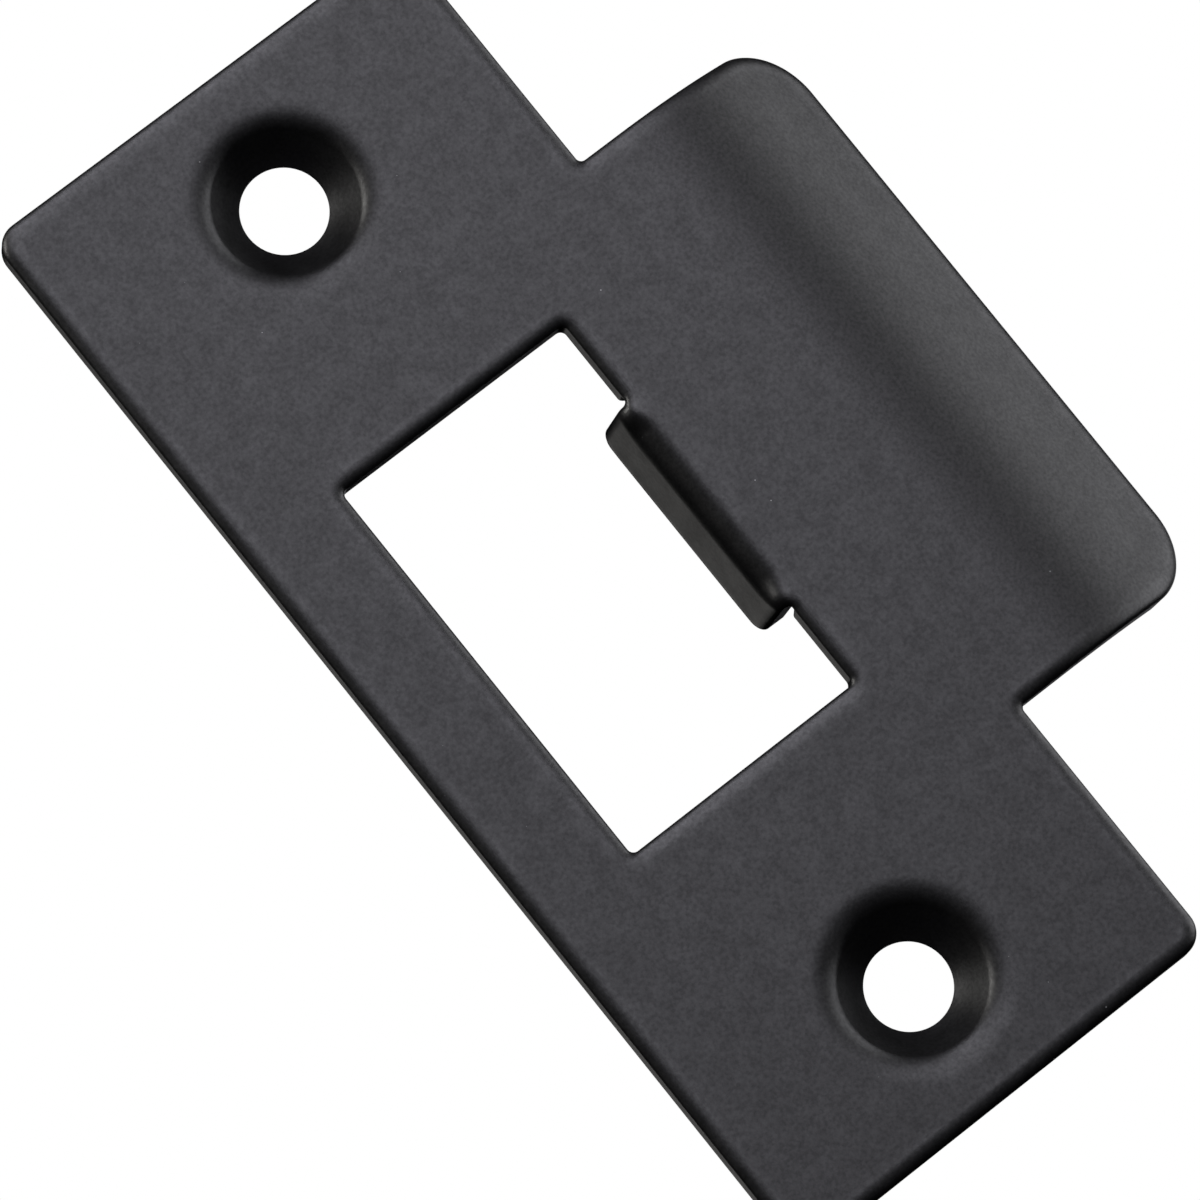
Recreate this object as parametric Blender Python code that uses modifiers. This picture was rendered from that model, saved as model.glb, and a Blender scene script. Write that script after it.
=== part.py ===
"""A latch strike plate, the keeper that a door latch enters.

The real plate is one piece of sheet steel. A press blanks it, sets the two screw cups, and bends
the lip and the tang backwards. The model is made in the same order: a flat blank, its rounded
front edge, the turned screw cups, and last the two bends.

The plate stands as it is installed. +Z is up along its long side, its front faces -Y, and its lip
points to +X. The origin is midway between the two screws, on the back of the faceplate.
"""

from math import atan, cos, pi, radians, sin, tan

import bmesh
import bpy
from mathutils import Matrix, Vector

MM = 0.001

# Driving dimensions, in metres.
PLATE_LENGTH = 69.85 * MM
PLATE_WIDTH = 28.0 * MM
SHEET = 1.5 * MM
PLATE_CORNER = 1.45 * MM

LIP_WIDTH = 38.0 * MM
LIP_FLAT = 2.8 * MM  # from the faceplate's side to the start of the bend
LIP_BEND_RADIUS = 15.5 * MM  # on the front, the outside of the bend
LIP_BEND_ANGLE = radians(32)
LIP_STRAIGHT = 3.35 * MM  # from the end of the bend to the free edge
LIP_CORNER = 4.0 * MM
LIP_ROOT_CORNER = 0.35 * MM

OPENING_LENGTH = 25.0 * MM
OPENING_WIDTH = 15.3 * MM
OPENING_CORNER = 0.4 * MM

TANG_LENGTH = 14.0 * MM
TANG_BEND_ANGLE = radians(80)
TANG_BEND_INSET = 0.8 * MM  # from the opening's side into the plate, where the bend starts
TANG_END_INSET = 0.05 * MM  # the same at the tang's two ends, where the plate holds the sheet flat
TANG_FACE_INSET = 0.85 * MM  # from the opening's side out to where the bend ends
TANG_TIGHTENING = 2.0 * MM  # the length at each end over which the bend grows tighter
TANG_STRAIGHT = 3.65 * MM
TANG_CORNER = 0.95 * MM
TANG_ROOT_CORNER = 0.6 * MM
TIGHTEST_INNER_RADIUS = 0.3 * MM  # on the back, in the tang's bend

SCREW_SPACING = 54.0 * MM
SCREW_HOLE_RADIUS = 2.45 * MM
CUP_CREASE_RADIUS = 4.05 * MM  # where the cone meets the rounded mouth
CUP_MOUTH_REACH = 1.85 * MM  # the rounded mouth is a quarter ellipse, cut off at the cone
CUP_MOUTH_DEPTH = 0.95 * MM
CUP_BACK_ROUNDING = 0.4 * MM
CUP_SLOPE = radians(49)  # the cone's fall, measured from the plate's face
CUP_MARGIN = 0.3 * MM  # flat ring around the mouth, which belongs to the turned cup

# The soft front edge that blanking and tumbling leave: wide across the face, shallow down the side.
FRONT_ROUNDING = 0.9 * MM
FRONT_ROUNDING_DEPTH = 0.42 * MM

# Fineness of the round stretches.
EDGE_SEGMENTS = 3
CORNER_SEGMENTS = 6
FILLET_SEGMENTS = 3
LIP_BEND_STEPS = 10
TANG_BEND_STEPS = 10
TANG_TIGHTENING_STEPS = 4
TANG_ROOT_STEPS = 2
CUP_STEPS = 48
MOUTH_STEPS = 5

WELD = 1e-6

PLATE_SIDE = PLATE_WIDTH / 2
OPENING_SIDE = OPENING_WIDTH / 2
CUP_MOUTH_TURN = atan(CUP_MOUTH_REACH / CUP_MOUTH_DEPTH * tan(CUP_SLOPE))
CUP_MOUTH_RADIUS = CUP_CREASE_RADIUS + CUP_MOUTH_REACH * sin(CUP_MOUTH_TURN)
CUP_OUTER_RADIUS = CUP_MOUTH_RADIUS + CUP_MARGIN
LIP_BEND_START = PLATE_SIDE + LIP_FLAT
LIP_FREE_EDGE = LIP_BEND_START + LIP_BEND_RADIUS * LIP_BEND_ANGLE + LIP_STRAIGHT
TANG_BEND_START = OPENING_SIDE + TANG_BEND_INSET
TANG_BEND_RADIUS = (TANG_BEND_INSET + TANG_FACE_INSET) / sin(TANG_BEND_ANGLE)
TANG_BEND_END = TANG_BEND_START - TANG_BEND_RADIUS * TANG_BEND_ANGLE
TANG_FREE_EDGE = TANG_BEND_END - TANG_STRAIGHT


def rounded_outline(corners):
    """The points of a closed outline. Each corner is (x, z, radius, segments), in order round it."""
    points = []
    for i, (x, z, radius, segments) in enumerate(corners):
        corner = Vector((x, z))
        before = (Vector(corners[i - 1][:2]) - corner).normalized()
        after = (Vector(corners[(i + 1) % len(corners)][:2]) - corner).normalized()
        half_angle = before.angle(after) / 2
        centre = corner + (before + after).normalized() * (radius / sin(half_angle))
        start = corner + before * (centre - corner).dot(before) - centre
        end = corner + after * (centre - corner).dot(after) - centre
        turn = start.angle_signed(end)
        for step in range(segments + 1):
            points.append(centre + Matrix.Rotation(-turn * step / segments, 2) @ start)
    return points


def blank_outlines():
    """The flat blank: the T-shaped outside, and the opening with the tang still flat inside it."""
    top = PLATE_LENGTH / 2
    lip_top = LIP_WIDTH / 2
    right_half = [
        (PLATE_SIDE, top, PLATE_CORNER, CORNER_SEGMENTS),
        (PLATE_SIDE, lip_top, LIP_ROOT_CORNER, FILLET_SEGMENTS),
        (LIP_FREE_EDGE, lip_top, LIP_CORNER, 2 * CORNER_SEGMENTS),
    ]
    outside = right_half + [(x, -z, radius, segments) for x, z, radius, segments in reversed(right_half)]
    outside.append((-PLATE_SIDE, -top, PLATE_CORNER, CORNER_SEGMENTS))
    outside.append((-PLATE_SIDE, top, PLATE_CORNER, CORNER_SEGMENTS))

    opening_top = OPENING_LENGTH / 2
    tang_top = TANG_LENGTH / 2
    tang_half = [
        (OPENING_SIDE, opening_top, OPENING_CORNER, FILLET_SEGMENTS),
        (OPENING_SIDE, tang_top, TANG_ROOT_CORNER, FILLET_SEGMENTS),
        (TANG_FREE_EDGE, tang_top, TANG_CORNER, CORNER_SEGMENTS),
    ]
    opening = tang_half + [(x, -z, radius, segments) for x, z, radius, segments in reversed(tang_half)]
    opening.append((-OPENING_SIDE, -opening_top, OPENING_CORNER, FILLET_SEGMENTS))
    opening.append((-OPENING_SIDE, opening_top, OPENING_CORNER, FILLET_SEGMENTS))
    return [rounded_outline(outside), rounded_outline(opening)]


def cup_mouth(centre_z):
    """The circle where a turned cup joins the blank."""
    angles = [2 * pi * step / CUP_STEPS for step in range(CUP_STEPS)]
    return [Vector((CUP_OUTER_RADIUS * cos(a), centre_z + CUP_OUTER_RADIUS * sin(a))) for a in angles]


def evaluated_mesh(obj):
    """The object's mesh with its modifiers applied. The object itself is removed."""
    graph = bpy.context.evaluated_depsgraph_get()
    mesh = bpy.data.meshes.new_from_object(obj.evaluated_get(graph))
    bpy.data.objects.remove(obj)
    return mesh


def flat_blank(collection):
    """The blank as a closed solid, flat in X and Z: its front at y = 0 and its back at y = SHEET."""
    curve = bpy.data.curves.new("blank", "CURVE")
    curve.dimensions = "2D"
    curve.fill_mode = "BOTH"
    curve.extrude = SHEET / 2
    screws = SCREW_SPACING / 2
    for points in blank_outlines() + [cup_mouth(screws), cup_mouth(-screws)]:
        spline = curve.splines.new("POLY")
        spline.points.add(len(points) - 1)
        spline.use_cyclic_u = True
        for point, place in zip(spline.points, points):
            point.co = (place.x, place.y, 0, 1)
    outline = bpy.data.objects.new("blank", curve)
    collection.objects.link(outline)
    bpy.context.view_layer.update()
    mesh = evaluated_mesh(outline)
    mesh.transform(Matrix.Translation((0, SHEET / 2, 0)) @ Matrix.Rotation(pi / 2, 4, "X"))
    return mesh


def is_cup_mouth(vertex):
    """Whether a vertex of the blank is on one of the two circles where a cup joins."""
    screws = SCREW_SPACING / 2
    reach = Vector((vertex.co.x, abs(vertex.co.z) - screws)).length
    return abs(reach - CUP_OUTER_RADIUS) < WELD


def halve_and_merge(form):
    """Makes each flat face two faces, which meet on the long centre line through the three holes."""
    everything = form.verts[:] + form.edges[:] + form.faces[:]
    halved = bmesh.ops.bisect_plane(form, geom=everything, dist=WELD, plane_co=(0, 0, 0), plane_no=(1, 0, 0))
    for item in halved["geom_cut"]:
        if isinstance(item, bmesh.types.BMEdge):
            item.seam = True
    flat = radians(0.5)
    bmesh.ops.dissolve_limit(form, angle_limit=flat, verts=form.verts, edges=form.edges, delimit={"SEAM"})


def round_front_edge(mesh, collection):
    """The blank with its front edges rounded. Its back edges stay sharp, as a press leaves them."""
    form = bmesh.new()
    form.from_mesh(mesh)
    bmesh.ops.remove_doubles(form, verts=form.verts, dist=WELD)
    halve_and_merge(form)
    weight = form.edges.layers.float.new("bevel_weight_edge")
    for edge in form.edges:
        at_front = all(abs(vertex.co.y) < WELD for vertex in edge.verts)
        at_corner = edge.calc_face_angle(0) > radians(45)
        if at_front and at_corner and not all(map(is_cup_mouth, edge.verts)):
            edge[weight] = 1.0
    form.to_mesh(mesh)
    form.free()
    blank = bpy.data.objects.new("blank", mesh)
    collection.objects.link(blank)
    bevel = blank.modifiers.new("front_rounding", "BEVEL")
    bevel.limit_method = "WEIGHT"
    bevel.width = FRONT_ROUNDING
    bevel.segments = EDGE_SEGMENTS
    bevel.use_clamp_overlap = False
    bpy.context.view_layer.update()
    mesh = evaluated_mesh(blank)
    for vertex in mesh.vertices:
        if vertex.co.y < FRONT_ROUNDING + WELD:
            vertex.co.y *= FRONT_ROUNDING_DEPTH / FRONT_ROUNDING
    return mesh


def cup_profile():
    """A pressed cup from its front outer rim, down the cone, round the hole's edge and out along the back."""
    turns = [CUP_MOUTH_TURN * step / MOUTH_STEPS for step in range(MOUTH_STEPS + 1)]
    front = [
        Vector((CUP_MOUTH_RADIUS - CUP_MOUTH_REACH * sin(turn), CUP_MOUTH_DEPTH * (1 - cos(turn))))
        for turn in turns
    ]
    crease = front[-1]
    fall = Vector((-cos(CUP_SLOPE), sin(CUP_SLOPE)))
    through_sheet = Vector((sin(CUP_SLOPE), cos(CUP_SLOPE)))
    hole_front = crease + fall * ((CUP_CREASE_RADIUS - SCREW_HOLE_RADIUS) / cos(CUP_SLOPE))
    hole_back = hole_front + through_sheet * SHEET

    behind = SHEET + CUP_BACK_ROUNDING
    sharp_mouth = CUP_CREASE_RADIUS + crease.y / tan(CUP_SLOPE)
    back_centre = Vector((sharp_mouth + behind * tan(CUP_SLOPE / 2), behind))
    angles = [CUP_SLOPE * step / MOUTH_STEPS for step in range(MOUTH_STEPS + 1)]
    back = [back_centre - CUP_BACK_ROUNDING * Vector((sin(angle), cos(angle))) for angle in angles]
    rim = [Vector((CUP_OUTER_RADIUS, 0)), Vector((CUP_OUTER_RADIUS, SHEET))]
    return [rim[0]] + front + [hole_front, hole_back] + back[::-1] + [rim[1]]


def turned_cup(collection):
    """One screw cup about the Y axis, open round its outside, where it is welded to the blank."""
    profile = cup_profile()
    mesh = bpy.data.meshes.new("cup")
    edges = [(i, i + 1) for i in range(len(profile) - 1)]
    mesh.from_pydata([(point.x, point.y, 0) for point in profile], edges, [])
    cup = bpy.data.objects.new("cup", mesh)
    collection.objects.link(cup)
    screw = cup.modifiers.new("turn", "SCREW")
    screw.axis = "Y"
    screw.steps = CUP_STEPS
    screw.render_steps = CUP_STEPS
    screw.use_merge_vertices = True
    screw.merge_threshold = WELD
    bpy.context.view_layer.update()
    return evaluated_mesh(cup)


def weld_cups(form, cup):
    """Opens the blank's two round holes, and welds a cup into each."""
    walls = [face for face in form.faces if all(map(is_cup_mouth, face.verts))]
    bmesh.ops.delete(form, geom=walls, context="FACES_ONLY")
    for side in (1, -1):
        placed = cup.copy()
        placed.transform(Matrix.Translation((0, 0, side * SCREW_SPACING / 2)))
        form.from_mesh(placed)
        bpy.data.meshes.remove(placed)
    bmesh.ops.remove_doubles(form, verts=form.verts, dist=WELD)


def cut_across(form, place, normal, inside=lambda centre: True):
    """Cuts the faces whose centre is inside by a plane, so that the sheet can bend along it."""
    faces = [face for face in form.faces if inside(face.calc_center_median())]
    edges = {edge for face in faces for edge in face.edges}
    corners = {vertex for face in faces for vertex in face.verts}
    geometry = faces + list(edges) + list(corners)
    bmesh.ops.bisect_plane(form, geom=geometry, dist=WELD, plane_co=place, plane_no=normal)


def cut_bend_lines(form):
    """The lines along which the lip, the tang and the sheet beside the tang bend."""
    for step in range(LIP_BEND_STEPS + 1):
        x = LIP_BEND_START + LIP_BEND_RADIUS * LIP_BEND_ANGLE * step / LIP_BEND_STEPS
        cut_across(form, (x, 0, 0), (1, 0, 0))

    tang_end = TANG_LENGTH / 2
    bend_end = tang_end + TANG_ROOT_CORNER
    even_bend_end = tang_end - TANG_TIGHTENING
    cut_across(form, (TANG_BEND_START, 0, 0), (1, 0, 0))

    def at_tang(centre):
        return 0 < centre.x < TANG_BEND_START

    def in_tang_bend(centre):
        return at_tang(centre) and abs(centre.z) < bend_end

    for side in (1, -1):
        for step in range(TANG_TIGHTENING_STEPS):
            z = side * (even_bend_end + TANG_TIGHTENING * step / TANG_TIGHTENING_STEPS)
            cut_across(form, (0, 0, z), (0, 0, 1), at_tang)
        for step in range(TANG_ROOT_STEPS + 1):
            z = side * (tang_end + TANG_ROOT_CORNER * step / TANG_ROOT_STEPS)
            cut_across(form, (0, 0, z), (0, 0, 1), at_tang)
    for step in range(1, TANG_BEND_STEPS + 1):
        x = TANG_BEND_START + (TANG_BEND_END - TANG_BEND_START) * step / TANG_BEND_STEPS
        cut_across(form, (x, 0, 0), (1, 0, 0), in_tang_bend)


def eased(share):
    """A smooth step from 0 to 1."""
    share = min(max(share, 0), 1)
    return share * share * (3 - 2 * share)


def bent(reach, depth, radius, angle):
    """Where a point goes that lies reach past the start of a bend and depth behind the front.

    Where the front's radius is too tight for the sheet, the back turns round its own tightest
    radius, and its bend starts earlier and ends later than the front's by the overrun.
    """
    inner = max(radius - SHEET, TIGHTEST_INNER_RADIUS)
    overrun = (SHEET + inner - radius) * tan(angle / 2)
    arc = radius * angle
    edges = []
    for bend_radius, early in ((radius, 0), (inner, overrun)):
        turned = angle * min(max((reach + early) / (arc + 2 * early), 0), 1)
        before = min(reach + early, 0)
        after = max(reach - early - arc, 0)
        along = before - early + bend_radius * sin(turned) + after * cos(angle)
        behind = bend_radius * (1 - cos(turned)) + after * sin(angle)
        edges.append(Vector((along, behind)))
    front, back = edges
    return front.lerp(back + Vector((0, SHEET)), depth / SHEET)


def bend_lip(place):
    along, behind = bent(place.x - LIP_BEND_START, place.y, LIP_BEND_RADIUS, LIP_BEND_ANGLE)
    return Vector((LIP_BEND_START + along, behind, place.z))


def bend_tang(place):
    """The tang bends back. Its bend is tight at its two ends, beside the plate, and wider between."""
    past_end = abs(place.z) - TANG_LENGTH / 2
    if place.x < 0 or place.x > TANG_BEND_START or past_end > TANG_ROOT_CORNER:
        return place
    tightened = eased(past_end / TANG_TIGHTENING + 1)
    inset = TANG_BEND_INSET + (TANG_END_INSET - TANG_BEND_INSET) * tightened
    start = OPENING_SIDE + inset
    radius = (inset + TANG_FACE_INSET) / sin(TANG_BEND_ANGLE)
    along, behind = bent(start - place.x, place.y, radius, TANG_BEND_ANGLE)
    folded = Vector((start - along, behind, place.z))
    return folded.lerp(place, eased(past_end / TANG_ROOT_CORNER))


def painted_black():
    material = bpy.data.materials.new("matt_black_coating")
    material.use_nodes = True
    shader = material.node_tree.nodes["Principled BSDF"]
    shader.inputs["Base Color"].default_value = (0.022, 0.022, 0.024, 1)
    shader.inputs["Roughness"].default_value = 0.5
    shader.inputs["Metallic"].default_value = 0.0
    return material


def strike_plate(collection):
    """The finished plate, with the back of its faceplate at y = 0."""
    blank = round_front_edge(flat_blank(collection), collection)
    form = bmesh.new()
    form.from_mesh(blank)
    weld_cups(form, turned_cup(collection))
    cut_bend_lines(form)
    for vertex in form.verts:
        vertex.co = bend_tang(bend_lip(vertex.co)) - Vector((0, SHEET, 0))
    bmesh.ops.recalc_face_normals(form, faces=form.faces)
    mesh = bpy.data.meshes.new("strike_plate")
    form.to_mesh(mesh)
    form.free()
    mesh.shade_smooth()
    mesh.set_sharp_from_angle(angle=radians(35))
    mesh.materials.append(painted_black())
    plate = bpy.data.objects.new("strike_plate", mesh)
    collection.objects.link(plate)
    return plate


def main():
    for obj in list(bpy.data.objects):
        bpy.data.objects.remove(obj)
    collection = bpy.data.collections.new("latch_strike_plate")
    bpy.context.scene.collection.children.link(collection)
    strike_plate(collection)


main()
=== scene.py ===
"""The looks of the latch strike plate: its fine mesh and black coating, the studio and the camera.

The fine plate is made as the real one is: a flat blank, its rounded edges, the turned screw cups,
and last the bends of the lip and the tang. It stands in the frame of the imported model: +Z is up
along the plate, its front faces -Y, and the origin is on the back of the faceplate.
"""

from math import atan, cos, pi, radians, sin, tan

import bmesh
import bpy
from mathutils import Matrix, Vector


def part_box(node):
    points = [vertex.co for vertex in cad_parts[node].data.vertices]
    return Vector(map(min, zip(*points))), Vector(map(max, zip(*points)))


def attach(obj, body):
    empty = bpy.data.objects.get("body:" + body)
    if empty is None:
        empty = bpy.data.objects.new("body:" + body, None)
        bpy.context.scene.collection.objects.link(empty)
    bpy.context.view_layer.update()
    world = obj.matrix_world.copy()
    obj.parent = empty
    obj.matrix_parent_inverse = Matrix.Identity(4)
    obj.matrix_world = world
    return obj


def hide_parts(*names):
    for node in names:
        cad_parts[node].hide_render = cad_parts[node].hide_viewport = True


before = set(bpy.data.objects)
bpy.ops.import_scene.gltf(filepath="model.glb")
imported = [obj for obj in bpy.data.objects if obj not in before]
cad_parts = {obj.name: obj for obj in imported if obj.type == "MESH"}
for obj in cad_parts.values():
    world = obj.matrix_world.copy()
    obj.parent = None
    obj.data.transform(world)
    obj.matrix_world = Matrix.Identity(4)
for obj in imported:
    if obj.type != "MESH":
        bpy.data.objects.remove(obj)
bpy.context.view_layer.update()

MM = 0.001

# The plate, in metres.
lowest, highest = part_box("strike_plate")
PLATE_LENGTH = highest.z - lowest.z
PLATE_WIDTH = -2 * lowest.x
SHEET = -lowest.y
PLATE_CORNER = 1.45 * MM

LIP_WIDTH = 38.0 * MM
LIP_FLAT = 2.8 * MM  # from the faceplate's side to the start of the bend
LIP_BEND_RADIUS = 15.5 * MM  # on the front, the outside of the bend
LIP_BEND_ANGLE = radians(32)
LIP_STRAIGHT = 3.35 * MM  # from the end of the bend to the free edge
LIP_CORNER = 4.0 * MM
LIP_ROOT_CORNER = 0.35 * MM

OPENING_LENGTH = 25.0 * MM
OPENING_WIDTH = 15.3 * MM
OPENING_CORNER = 0.4 * MM

TANG_LENGTH = 14.0 * MM
TANG_BEND_ANGLE = radians(80)
TANG_BEND_INSET = 0.8 * MM  # from the opening's side into the plate, where the bend starts
TANG_END_INSET = 0.05 * MM  # the same at the tang's two ends, where the plate holds the sheet flat
TANG_FACE_INSET = 0.85 * MM  # from the opening's side out to where the bend ends
TANG_TIGHTENING = 2.0 * MM  # the length at each end over which the bend grows tighter
TANG_STRAIGHT = 3.65 * MM
TANG_CORNER = 0.95 * MM
TANG_ROOT_CORNER = 0.6 * MM
TIGHTEST_INNER_RADIUS = 0.3 * MM  # on the back, in the tang's bend

SCREW_SPACING = 54.0 * MM
SCREW_HOLE_RADIUS = 2.45 * MM
CUP_CREASE_RADIUS = 4.05 * MM  # where the cone meets the rounded mouth
CUP_MOUTH_REACH = 1.85 * MM  # the rounded mouth is a quarter ellipse, cut off at the cone
CUP_MOUTH_DEPTH = 0.95 * MM
CUP_BACK_ROUNDING = 0.4 * MM
CUP_SLOPE = radians(49)  # the cone's fall, measured from the plate's face
CUP_MARGIN = 0.3 * MM  # flat ring around the mouth, which belongs to the turned cup

# The soft front edge that blanking and tumbling leave: wide across the face, shallow down the side.
FRONT_ROUNDING = 0.9 * MM
FRONT_ROUNDING_DEPTH = 0.42 * MM

# Fineness of the round stretches.
EDGE_SEGMENTS = 8
CORNER_SEGMENTS = 14
FILLET_SEGMENTS = 8
LIP_BEND_STEPS = 32
TANG_BEND_STEPS = 24
TANG_TIGHTENING_STEPS = 10
TANG_ROOT_STEPS = 6
CUP_STEPS = 160
MOUTH_STEPS = 14

WELD = 1e-6
COPLANAR = radians(0.5)
CORNER_ANGLE = radians(45)  # an edge that turns by more than this is a corner, and is rounded
SMOOTH_WITHIN = cos(radians(35))
FLAT_AREA = 20 * MM**2  # a face wider than this keeps its own normal

# The coating.
GRAIN_SIZE = 0.20 * MM
GRAIN_DEPTH = 0.004 * MM
CLOUD_SIZE = 1.2 * MM
NOISE_DETAIL = 2.0
NOISE_SPREAD = (0.3, 0.7)  # nearly all of a noise pattern lies in this range
ROUGHNESS = (0.39, 0.45)
SHINE = (0.4, 0.6)
EDGE_REACH = 1.35 * MM  # the coating is a little thicker and shinier this near to an edge
EDGE_SHINE = 1.75
EDGE_OPENNESS = (0.5, 1.0)  # how open the sheet is at an edge, and deep inside a face
EDGE_SAMPLES = 8
COATING_COLOUR = (0.002, 0.002, 0.002, 1)
SPECK_COLOUR = (0.25, 0.25, 0.25, 1)
SPECK_SPACING = 0.8 * MM
SPECK_RADIUS = 0.06  # a part of the spacing
SPECK_SHARE = 0.05

# The studio.
COOL = (0.92, 0.908, 1.0)
NEUTRAL = (0.96, 0.96, 1.0)
WARM = (1.0, 0.98, 0.95)
# Each soft box: its name, its azimuth and elevation in degrees, its distance, width and height in
# metres, its power in watts and its colour.
SOFT_BOXES = [
    ("key", 12, 22, 0.363, 0.314, 0.409, 0.90, COOL),
    ("right", 76, -6, 0.418, 0.399, 0.496, 1.178, NEUTRAL),
    ("top", 16, 56, 1.0, 0.5, 0.4, 1.9, COOL),
    ("rim", -152, 3, 1.0, 0.46, 0.46, 0.36, WARM),
    ("behind", 145, -14, 0.8, 0.55, 0.55, 0.5, NEUTRAL),
]
STRIP_LIGHT = ("left", -59, 46, 1.0, 0.56, 0.14, 3.8, WARM)
STRIP_LENGTH_WAY = (0.70, 0.20, 0.69)  # the way the strip light runs
WHITE = (1, 1, 1, 1)
BLACK = (0, 0, 0, 1)
FLOOR_LEVEL = -60 * MM
FLOOR_SIZE = 4.0
FLOOR_COLOUR = (0.8, 0.8, 0.8, 1)
FLOOR_ROUGHNESS = 0.9
FLOOR_GLOW = 0.7

CAMERA_PLACE = Vector((-86.19, -417.68, -48.79)) * MM
CAMERA_FORWARD = Vector((0.20065, 0.97317, 0.11262))
CAMERA_RIGHT = Vector((0.77714, -0.08812, -0.62313))
CAMERA_LENS = 239.4
CAMERA_SENSOR = 36
CAMERA_CLIP_START = 0.01

PLATE_SIDE = PLATE_WIDTH / 2
OPENING_SIDE = OPENING_WIDTH / 2
CUP_MOUTH_TURN = atan(CUP_MOUTH_REACH / CUP_MOUTH_DEPTH * tan(CUP_SLOPE))
CUP_MOUTH_RADIUS = CUP_CREASE_RADIUS + CUP_MOUTH_REACH * sin(CUP_MOUTH_TURN)
CUP_OUTER_RADIUS = CUP_MOUTH_RADIUS + CUP_MARGIN
LIP_BEND_START = PLATE_SIDE + LIP_FLAT
LIP_FREE_EDGE = LIP_BEND_START + LIP_BEND_RADIUS * LIP_BEND_ANGLE + LIP_STRAIGHT
TANG_BEND_START = OPENING_SIDE + TANG_BEND_INSET
TANG_BEND_RADIUS = (TANG_BEND_INSET + TANG_FACE_INSET) / sin(TANG_BEND_ANGLE)
TANG_BEND_END = TANG_BEND_START - TANG_BEND_RADIUS * TANG_BEND_ANGLE
TANG_FREE_EDGE = TANG_BEND_END - TANG_STRAIGHT


def rounded_outline(corners):
    """The points of a closed outline. Each corner is (x, z, radius, segments), in order round it."""
    points = []
    for i, (x, z, radius, segments) in enumerate(corners):
        corner = Vector((x, z))
        before = (Vector(corners[i - 1][:2]) - corner).normalized()
        after = (Vector(corners[(i + 1) % len(corners)][:2]) - corner).normalized()
        half_angle = before.angle(after) / 2
        centre = corner + (before + after).normalized() * (radius / sin(half_angle))
        start = corner + before * (centre - corner).dot(before) - centre
        end = corner + after * (centre - corner).dot(after) - centre
        turn = start.angle_signed(end)
        for step in range(segments + 1):
            points.append(centre + Matrix.Rotation(-turn * step / segments, 2) @ start)
    return points


def blank_outlines():
    """The flat blank: the T-shaped outside, and the opening with the tang still flat inside it."""
    top = PLATE_LENGTH / 2
    lip_top = LIP_WIDTH / 2
    right_half = [
        (PLATE_SIDE, top, PLATE_CORNER, CORNER_SEGMENTS),
        (PLATE_SIDE, lip_top, LIP_ROOT_CORNER, FILLET_SEGMENTS),
        (LIP_FREE_EDGE, lip_top, LIP_CORNER, 2 * CORNER_SEGMENTS),
    ]
    outside = right_half + [(x, -z, radius, segments) for x, z, radius, segments in reversed(right_half)]
    outside.append((-PLATE_SIDE, -top, PLATE_CORNER, CORNER_SEGMENTS))
    outside.append((-PLATE_SIDE, top, PLATE_CORNER, CORNER_SEGMENTS))

    opening_top = OPENING_LENGTH / 2
    tang_top = TANG_LENGTH / 2
    tang_half = [
        (OPENING_SIDE, opening_top, OPENING_CORNER, FILLET_SEGMENTS),
        (OPENING_SIDE, tang_top, TANG_ROOT_CORNER, FILLET_SEGMENTS),
        (TANG_FREE_EDGE, tang_top, TANG_CORNER, CORNER_SEGMENTS),
    ]
    opening = tang_half + [(x, -z, radius, segments) for x, z, radius, segments in reversed(tang_half)]
    opening.append((-OPENING_SIDE, -opening_top, OPENING_CORNER, FILLET_SEGMENTS))
    opening.append((-OPENING_SIDE, opening_top, OPENING_CORNER, FILLET_SEGMENTS))
    return [rounded_outline(outside), rounded_outline(opening)]


def cup_mouth(centre_z):
    """The circle where a turned cup joins the blank."""
    angles = [2 * pi * step / CUP_STEPS for step in range(CUP_STEPS)]
    return [Vector((CUP_OUTER_RADIUS * cos(a), centre_z + CUP_OUTER_RADIUS * sin(a))) for a in angles]


def evaluated_mesh(obj):
    """The object's mesh with its modifiers applied. The object itself is removed."""
    graph = bpy.context.evaluated_depsgraph_get()
    mesh = bpy.data.meshes.new_from_object(obj.evaluated_get(graph))
    bpy.data.objects.remove(obj)
    return mesh


def flat_blank(collection):
    """The blank as a closed solid, flat in X and Z: its front at y = 0 and its back at y = SHEET."""
    curve = bpy.data.curves.new("blank", "CURVE")
    curve.dimensions = "2D"
    curve.fill_mode = "BOTH"
    curve.extrude = SHEET / 2
    screws = SCREW_SPACING / 2
    for points in blank_outlines() + [cup_mouth(screws), cup_mouth(-screws)]:
        spline = curve.splines.new("POLY")
        spline.points.add(len(points) - 1)
        spline.use_cyclic_u = True
        for point, place in zip(spline.points, points):
            point.co = (place.x, place.y, 0, 1)
    outline = bpy.data.objects.new("blank", curve)
    collection.objects.link(outline)
    bpy.context.view_layer.update()
    mesh = evaluated_mesh(outline)
    mesh.transform(Matrix.Translation((0, SHEET / 2, 0)) @ Matrix.Rotation(pi / 2, 4, "X"))
    return mesh


def is_cup_mouth(vertex):
    """Whether a vertex of the blank is on one of the two circles where a cup joins."""
    screws = SCREW_SPACING / 2
    reach = Vector((vertex.co.x, abs(vertex.co.z) - screws)).length
    return abs(reach - CUP_OUTER_RADIUS) < WELD


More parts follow.
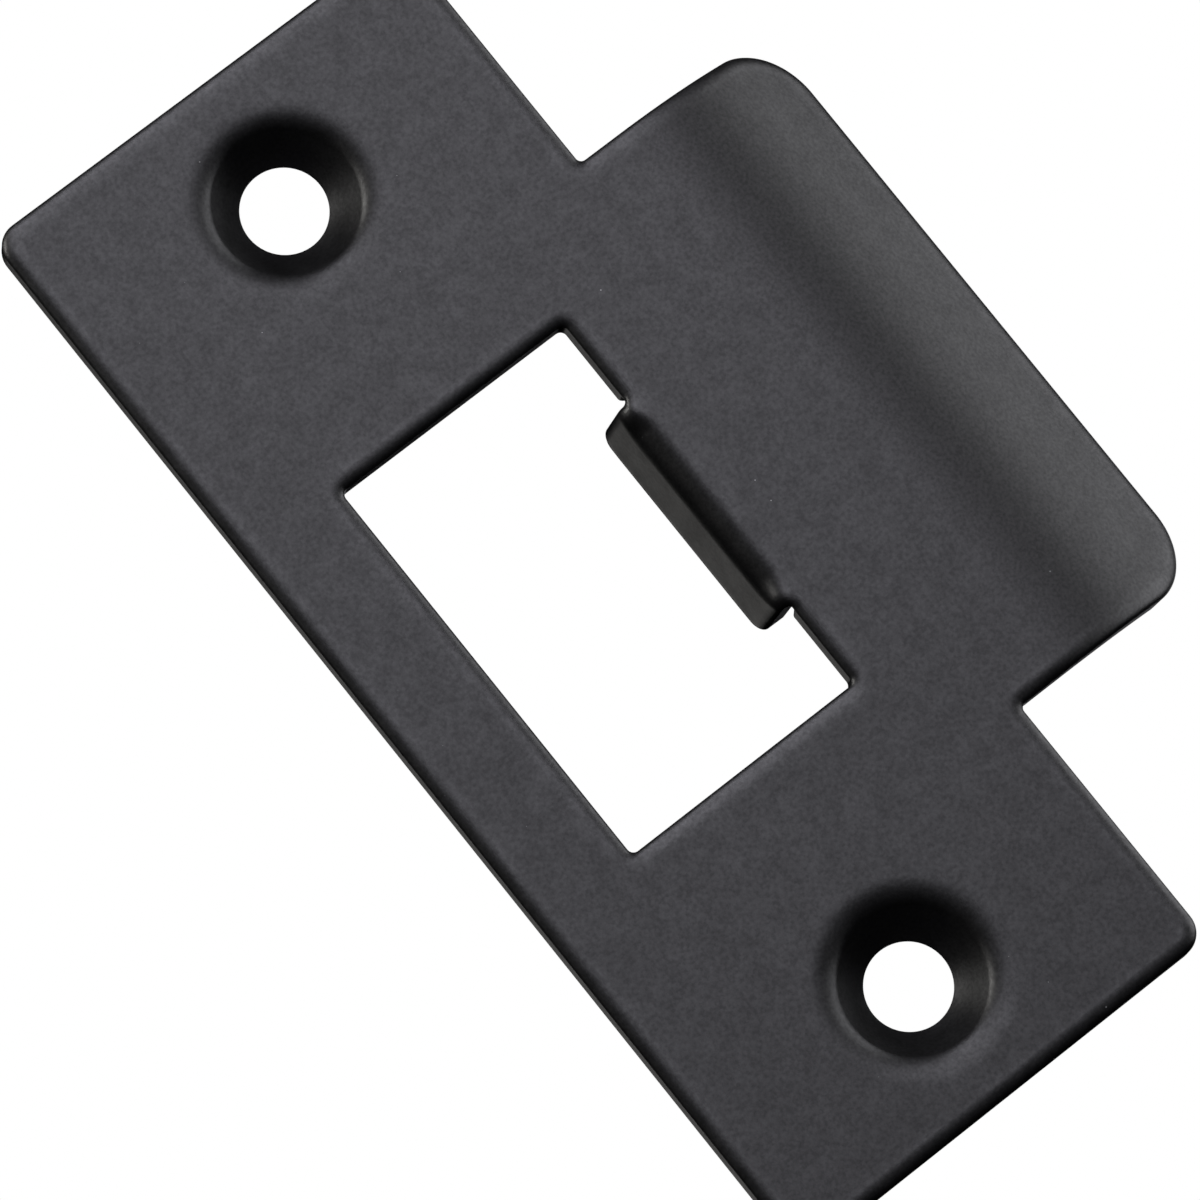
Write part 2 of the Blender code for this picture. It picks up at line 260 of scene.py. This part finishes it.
def halve_and_merge(form):
    """Makes each flat face two faces, which meet on the long centre line through the three holes."""
    everything = form.verts[:] + form.edges[:] + form.faces[:]
    middle = {"plane_co": (0, 0, 0), "plane_no": (1, 0, 0)}
    halved = bmesh.ops.bisect_plane(form, geom=everything, dist=WELD, **middle)
    for item in halved["geom_cut"]:
        if isinstance(item, bmesh.types.BMEdge):
            item.seam = True
    joinable = {"verts": form.verts, "edges": form.edges}
    bmesh.ops.dissolve_limit(form, angle_limit=COPLANAR, delimit={"SEAM"}, **joinable)


def round_front_edge(mesh, collection):
    """The blank with its front edges rounded. Its back edges stay sharp, as a press leaves them."""
    form = bmesh.new()
    form.from_mesh(mesh)
    bmesh.ops.remove_doubles(form, verts=form.verts, dist=WELD)
    halve_and_merge(form)
    weight = form.edges.layers.float.new("bevel_weight_edge")
    for edge in form.edges:
        at_front = all(abs(vertex.co.y) < WELD for vertex in edge.verts)
        at_corner = edge.calc_face_angle(0) > CORNER_ANGLE
        if at_front and at_corner and not all(map(is_cup_mouth, edge.verts)):
            edge[weight] = 1.0
    form.to_mesh(mesh)
    form.free()
    blank = bpy.data.objects.new("blank", mesh)
    collection.objects.link(blank)
    bevel = blank.modifiers.new("front_rounding", "BEVEL")
    bevel.limit_method = "WEIGHT"
    bevel.width = FRONT_ROUNDING
    bevel.segments = EDGE_SEGMENTS
    bevel.use_clamp_overlap = False
    bpy.context.view_layer.update()
    mesh = evaluated_mesh(blank)
    for vertex in mesh.vertices:
        if vertex.co.y < FRONT_ROUNDING + WELD:
            vertex.co.y *= FRONT_ROUNDING_DEPTH / FRONT_ROUNDING
    return mesh


def cup_profile():
    """A pressed cup's section: from its front rim down the cone, round the hole's edge and back outside."""
    turns = [CUP_MOUTH_TURN * step / MOUTH_STEPS for step in range(MOUTH_STEPS + 1)]
    front = [
        Vector((CUP_MOUTH_RADIUS - CUP_MOUTH_REACH * sin(turn), CUP_MOUTH_DEPTH * (1 - cos(turn))))
        for turn in turns
    ]
    crease = front[-1]
    fall = Vector((-cos(CUP_SLOPE), sin(CUP_SLOPE)))
    through_sheet = Vector((sin(CUP_SLOPE), cos(CUP_SLOPE)))
    hole_front = crease + fall * ((CUP_CREASE_RADIUS - SCREW_HOLE_RADIUS) / cos(CUP_SLOPE))
    hole_back = hole_front + through_sheet * SHEET

    behind = SHEET + CUP_BACK_ROUNDING
    sharp_mouth = CUP_CREASE_RADIUS + crease.y / tan(CUP_SLOPE)
    back_centre = Vector((sharp_mouth + behind * tan(CUP_SLOPE / 2), behind))
    angles = [CUP_SLOPE * step / MOUTH_STEPS for step in range(MOUTH_STEPS + 1)]
    back = [back_centre - CUP_BACK_ROUNDING * Vector((sin(angle), cos(angle))) for angle in angles]
    rim = [Vector((CUP_OUTER_RADIUS, 0)), Vector((CUP_OUTER_RADIUS, SHEET))]
    return [rim[0]] + front + [hole_front, hole_back] + back[::-1] + [rim[1]]


def turned_cup(collection):
    """One screw cup about the Y axis, open round its outside, where it is welded to the blank."""
    profile = cup_profile()
    mesh = bpy.data.meshes.new("cup")
    edges = [(i, i + 1) for i in range(len(profile) - 1)]
    mesh.from_pydata([(point.x, point.y, 0) for point in profile], edges, [])
    cup = bpy.data.objects.new("cup", mesh)
    collection.objects.link(cup)
    screw = cup.modifiers.new("turn", "SCREW")
    screw.axis = "Y"
    screw.steps = CUP_STEPS
    screw.render_steps = CUP_STEPS
    screw.use_merge_vertices = True
    screw.merge_threshold = WELD
    bpy.context.view_layer.update()
    return evaluated_mesh(cup)


def weld_cups(form, cup):
    """Opens the blank's two round holes, and welds a cup into each."""
    walls = [face for face in form.faces if all(map(is_cup_mouth, face.verts))]
    bmesh.ops.delete(form, geom=walls, context="FACES_ONLY")
    for side in (1, -1):
        placed = cup.copy()
        placed.transform(Matrix.Translation((0, 0, side * SCREW_SPACING / 2)))
        form.from_mesh(placed)
        bpy.data.meshes.remove(placed)
    bmesh.ops.remove_doubles(form, verts=form.verts, dist=WELD)


def cut_across(form, place, normal, inside=lambda centre: True):
    """Cuts the faces whose centre is inside by a plane, so that the sheet can bend along it."""
    faces = [face for face in form.faces if inside(face.calc_center_median())]
    edges = {edge for face in faces for edge in face.edges}
    corners = {vertex for face in faces for vertex in face.verts}
    geometry = faces + list(edges) + list(corners)
    bmesh.ops.bisect_plane(form, geom=geometry, dist=WELD, plane_co=place, plane_no=normal)


def cut_bend_lines(form):
    """The lines along which the lip, the tang and the sheet beside the tang bend."""
    for step in range(LIP_BEND_STEPS + 1):
        x = LIP_BEND_START + LIP_BEND_RADIUS * LIP_BEND_ANGLE * step / LIP_BEND_STEPS
        cut_across(form, (x, 0, 0), (1, 0, 0))

    tang_end = TANG_LENGTH / 2
    bend_end = tang_end + TANG_ROOT_CORNER
    even_bend_end = tang_end - TANG_TIGHTENING
    cut_across(form, (TANG_BEND_START, 0, 0), (1, 0, 0))

    def at_tang(centre):
        return 0 < centre.x < TANG_BEND_START

    def in_tang_bend(centre):
        return at_tang(centre) and abs(centre.z) < bend_end

    for side in (1, -1):
        for step in range(TANG_TIGHTENING_STEPS):
            z = side * (even_bend_end + TANG_TIGHTENING * step / TANG_TIGHTENING_STEPS)
            cut_across(form, (0, 0, z), (0, 0, 1), at_tang)
        for step in range(TANG_ROOT_STEPS + 1):
            z = side * (tang_end + TANG_ROOT_CORNER * step / TANG_ROOT_STEPS)
            cut_across(form, (0, 0, z), (0, 0, 1), at_tang)
    for step in range(1, TANG_BEND_STEPS + 1):
        x = TANG_BEND_START + (TANG_BEND_END - TANG_BEND_START) * step / TANG_BEND_STEPS
        cut_across(form, (x, 0, 0), (1, 0, 0), in_tang_bend)


def eased(share):
    """A smooth step from 0 to 1."""
    share = min(max(share, 0), 1)
    return share * share * (3 - 2 * share)


def bent(reach, depth, radius, angle):
    """Where a point goes that lies reach past the start of a bend and depth behind the front.

    Where the front's radius is too tight for the sheet, the back turns round its own tightest
    radius, and its bend starts earlier and ends later than the front's by the overrun.
    """
    inner = max(radius - SHEET, TIGHTEST_INNER_RADIUS)
    overrun = (SHEET + inner - radius) * tan(angle / 2)
    arc = radius * angle
    edges = []
    for bend_radius, early in ((radius, 0), (inner, overrun)):
        turned = angle * min(max((reach + early) / (arc + 2 * early), 0), 1)
        before = min(reach + early, 0)
        after = max(reach - early - arc, 0)
        along = before - early + bend_radius * sin(turned) + after * cos(angle)
        behind = bend_radius * (1 - cos(turned)) + after * sin(angle)
        edges.append(Vector((along, behind)))
    front, back = edges
    return front.lerp(back + Vector((0, SHEET)), depth / SHEET)


def bend_lip(place):
    """The lip bends back, and everything before it stays."""
    along, behind = bent(place.x - LIP_BEND_START, place.y, LIP_BEND_RADIUS, LIP_BEND_ANGLE)
    return Vector((LIP_BEND_START + along, behind, place.z))


def bend_tang(place):
    """The tang bends back. Its bend is tight at its two ends, beside the plate, and wider between."""
    past_end = abs(place.z) - TANG_LENGTH / 2
    if place.x < 0 or place.x > TANG_BEND_START or past_end > TANG_ROOT_CORNER:
        return place
    tightened = eased(past_end / TANG_TIGHTENING + 1)
    inset = TANG_BEND_INSET + (TANG_END_INSET - TANG_BEND_INSET) * tightened
    start = OPENING_SIDE + inset
    radius = (inset + TANG_FACE_INSET) / sin(TANG_BEND_ANGLE)
    along, behind = bent(start - place.x, place.y, radius, TANG_BEND_ANGLE)
    folded = Vector((start - along, behind, place.z))
    return folded.lerp(place, eased(past_end / TANG_ROOT_CORNER))


def shade_flats_flat(mesh):
    """Gives smooth normals to the round stretches, and keeps the wide flats and the sharp edges true."""
    faces_at = [[] for _ in mesh.vertices]
    for face in mesh.polygons:
        for vertex in face.vertices:
            faces_at[vertex].append(face)
    normals = []
    for face in mesh.polygons:
        for vertex in face.vertices:
            joined = [other for other in faces_at[vertex] if other.normal.dot(face.normal) > SMOOTH_WITHIN]
            widest = max(joined, key=lambda other: other.area)
            if widest.area > FLAT_AREA:
                normals.append(widest.normal)
            else:
                total = sum((other.normal * other.area for other in joined), Vector())
                normals.append(total.normalized())
    mesh.normals_split_custom_set(normals)


def strike_plate(collection, coating):
    """Makes the finished plate, with the back of its faceplate at y = 0."""
    blank = round_front_edge(flat_blank(collection), collection)
    form = bmesh.new()
    form.from_mesh(blank)
    weld_cups(form, turned_cup(collection))
    cut_bend_lines(form)
    for vertex in form.verts:
        vertex.co = bend_tang(bend_lip(vertex.co)) - Vector((0, SHEET, 0))
    bmesh.ops.recalc_face_normals(form, faces=form.faces)
    mesh = bpy.data.meshes.new("coated_strike_plate")
    form.to_mesh(mesh)
    form.free()
    mesh.shade_smooth()
    shade_flats_flat(mesh)
    mesh.materials.append(coating)
    plate = bpy.data.objects.new("coated_strike_plate", mesh)
    collection.objects.link(plate)
    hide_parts("strike_plate")
    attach(plate, "root")


def noise(tree, place, size):
    """A noise pattern whose lumps are about size across."""
    texture = tree.nodes.new("ShaderNodeTexNoise")
    texture.inputs["Scale"].default_value = 1 / size
    texture.inputs["Detail"].default_value = NOISE_DETAIL
    tree.links.new(place, texture.inputs["Vector"])
    return texture.outputs["Fac"]


def mapped(tree, value, source, target):
    """The value moved from the source range to the target range, and held inside it."""
    node = tree.nodes.new("ShaderNodeMapRange")
    node.inputs["From Min"].default_value = source[0]
    node.inputs["From Max"].default_value = source[1]
    node.inputs["To Min"].default_value = target[0]
    node.inputs["To Max"].default_value = target[1]
    tree.links.new(value, node.inputs["Value"])
    return node.outputs["Result"]


def product(tree, first, second):
    """The two values multiplied."""
    node = tree.nodes.new("ShaderNodeMath")
    node.operation = "MULTIPLY"
    tree.links.new(first, node.inputs[0])
    tree.links.new(second, node.inputs[1])
    return node.outputs["Value"]


def light_specks(tree, place):
    """1 on a few small dots, and 0 between them."""
    cells = tree.nodes.new("ShaderNodeTexVoronoi")
    cells.inputs["Scale"].default_value = 1 / SPECK_SPACING
    tree.links.new(place, cells.inputs["Vector"])
    chance = tree.nodes.new("ShaderNodeSeparateColor")
    tree.links.new(cells.outputs["Color"], chance.inputs["Color"])
    rare = (1 - SPECK_SHARE, 1 - SPECK_SHARE / 2)
    chosen = mapped(tree, chance.outputs["Red"], rare, (0, 1))
    near = mapped(tree, cells.outputs["Distance"], (SPECK_RADIUS / 2, SPECK_RADIUS), (1, 0))
    return product(tree, chosen, near)


def openness(tree):
    """How far the inside of the sheet is open to the outside: 1 inside a wide face, less near an edge."""
    inside = tree.nodes.new("ShaderNodeAmbientOcclusion")
    inside.inside = True
    inside.only_local = True
    inside.samples = EDGE_SAMPLES
    inside.inputs["Distance"].default_value = EDGE_REACH
    return inside.outputs["AO"]


def coated_black():
    """A matt black powder coat: a mottled, faintly pebbled skin with a few light specks."""
    material = bpy.data.materials.new("matt_black_powder_coat")
    material.use_nodes = True
    tree = material.node_tree
    shader = tree.nodes["Principled BSDF"]
    place = tree.nodes.new("ShaderNodeTexCoord").outputs["Object"]
    grain = noise(tree, place, GRAIN_SIZE)
    cloud = noise(tree, place, CLOUD_SIZE)

    colour = tree.nodes.new("ShaderNodeMix")
    colour.data_type = "RGBA"
    colour.inputs["A"].default_value = COATING_COLOUR
    colour.inputs["B"].default_value = SPECK_COLOUR
    tree.links.new(light_specks(tree, place), colour.inputs["Factor"])
    tree.links.new(colour.outputs["Result"], shader.inputs["Base Color"])

    tree.links.new(mapped(tree, cloud, NOISE_SPREAD, ROUGHNESS), shader.inputs["Roughness"])
    shine = mapped(tree, grain, NOISE_SPREAD, SHINE)
    edge_shine = mapped(tree, openness(tree), EDGE_OPENNESS, (EDGE_SHINE, 1))
    tree.links.new(product(tree, shine, edge_shine), shader.inputs["Specular IOR Level"])

    bump = tree.nodes.new("ShaderNodeBump")
    bump.inputs["Strength"].default_value = 1.0
    bump.inputs["Distance"].default_value = GRAIN_DEPTH
    tree.links.new(grain, bump.inputs["Height"])
    tree.links.new(bump.outputs["Normal"], shader.inputs["Normal"])
    return material


def facing(place, along):
    """The turn of a light at place that faces the origin, with its width along the given direction."""
    back = Vector(place).normalized()
    width = (Vector(along) - back * back.dot(Vector(along))).normalized()
    return Matrix((width, back.cross(width), back)).transposed().to_euler()


def soft_box(collection, name, azimuth, elevation, distance, width, height, power, colour):
    """An oval soft box that faces the plate. Azimuth 0 is in front, and 90 is on the lip's side."""
    lamp = bpy.data.lights.new(name, "AREA")
    lamp.shape = "ELLIPSE"
    lamp.size = width
    lamp.size_y = height
    lamp.energy = power
    lamp.color = colour
    light = bpy.data.objects.new(name, lamp)
    across = radians(azimuth)
    up = radians(elevation)
    toward = Vector((sin(across) * cos(up), -cos(across) * cos(up), sin(up)))
    light.location = toward * distance
    light.rotation_euler = (-toward).to_track_quat("-Z", "Y").to_euler()
    collection.objects.link(light)
    return light


def studio_lights(collection):
    """Five soft boxes round the plate, and a strip light above its left."""
    for box in SOFT_BOXES:
        soft_box(collection, *box)
    strip = soft_box(collection, *STRIP_LIGHT)
    strip.rotation_euler = facing(strip.location, STRIP_LENGTH_WAY)


def white_world():
    """A plain white backdrop to the camera, and dark to everything else."""
    world = bpy.data.worlds.new("studio")
    world.use_nodes = True
    tree = world.node_tree
    tree.nodes.clear()
    output = tree.nodes.new("ShaderNodeOutputWorld")
    backdrop = tree.nodes.new("ShaderNodeBackground")
    backdrop.inputs["Color"].default_value = WHITE
    dark = tree.nodes.new("ShaderNodeBackground")
    dark.inputs["Color"].default_value = BLACK
    chosen = tree.nodes.new("ShaderNodeMixShader")
    path = tree.nodes.new("ShaderNodeLightPath")
    tree.links.new(path.outputs["Is Camera Ray"], chosen.inputs["Fac"])
    tree.links.new(dark.outputs["Background"], chosen.inputs[1])
    tree.links.new(backdrop.outputs["Background"], chosen.inputs[2])
    tree.links.new(chosen.outputs["Shader"], output.inputs["Surface"])
    bpy.context.scene.world = world


def pale_floor(collection):
    """A wide pale floor under the plate. It throws no light up on to the plate."""
    mesh = bpy.data.meshes.new("floor")
    half = FLOOR_SIZE / 2
    corners = ((-half, -half), (half, -half), (half, half), (-half, half))
    mesh.from_pydata([(x, y, FLOOR_LEVEL) for x, y in corners], [], [(0, 1, 2, 3)])
    material = bpy.data.materials.new("pale_floor")
    material.use_nodes = True
    shader = material.node_tree.nodes["Principled BSDF"]
    shader.inputs["Base Color"].default_value = FLOOR_COLOUR
    shader.inputs["Roughness"].default_value = FLOOR_ROUGHNESS
    shader.inputs["Emission Color"].default_value = WHITE
    shader.inputs["Emission Strength"].default_value = FLOOR_GLOW
    mesh.materials.append(material)
    floor = bpy.data.objects.new("floor", mesh)
    floor.visible_diffuse = False
    floor.visible_glossy = False
    collection.objects.link(floor)


def camera(collection):
    """The main view: from in front, a little below and to the left, and rolled."""
    lens = bpy.data.cameras.new("camera")
    lens.sensor_width = CAMERA_SENSOR
    lens.lens = CAMERA_LENS
    lens.clip_start = CAMERA_CLIP_START
    view = bpy.data.objects.new("camera", lens)
    forward = CAMERA_FORWARD.normalized()
    right = (CAMERA_RIGHT - forward * CAMERA_RIGHT.dot(forward)).normalized()
    turn = Matrix((right, right.cross(forward), -forward)).transposed()
    view.matrix_world = Matrix.Translation(CAMERA_PLACE) @ turn.to_4x4()
    collection.objects.link(view)
    bpy.context.scene.camera = view


def main():
    """Makes the plate and all that stands round it."""
    collection = bpy.context.scene.collection
    strike_plate(collection, coated_black())
    pale_floor(collection)
    white_world()
    studio_lights(collection)
    camera(collection)
    bpy.context.scene.view_settings.view_transform = "Standard"


main()
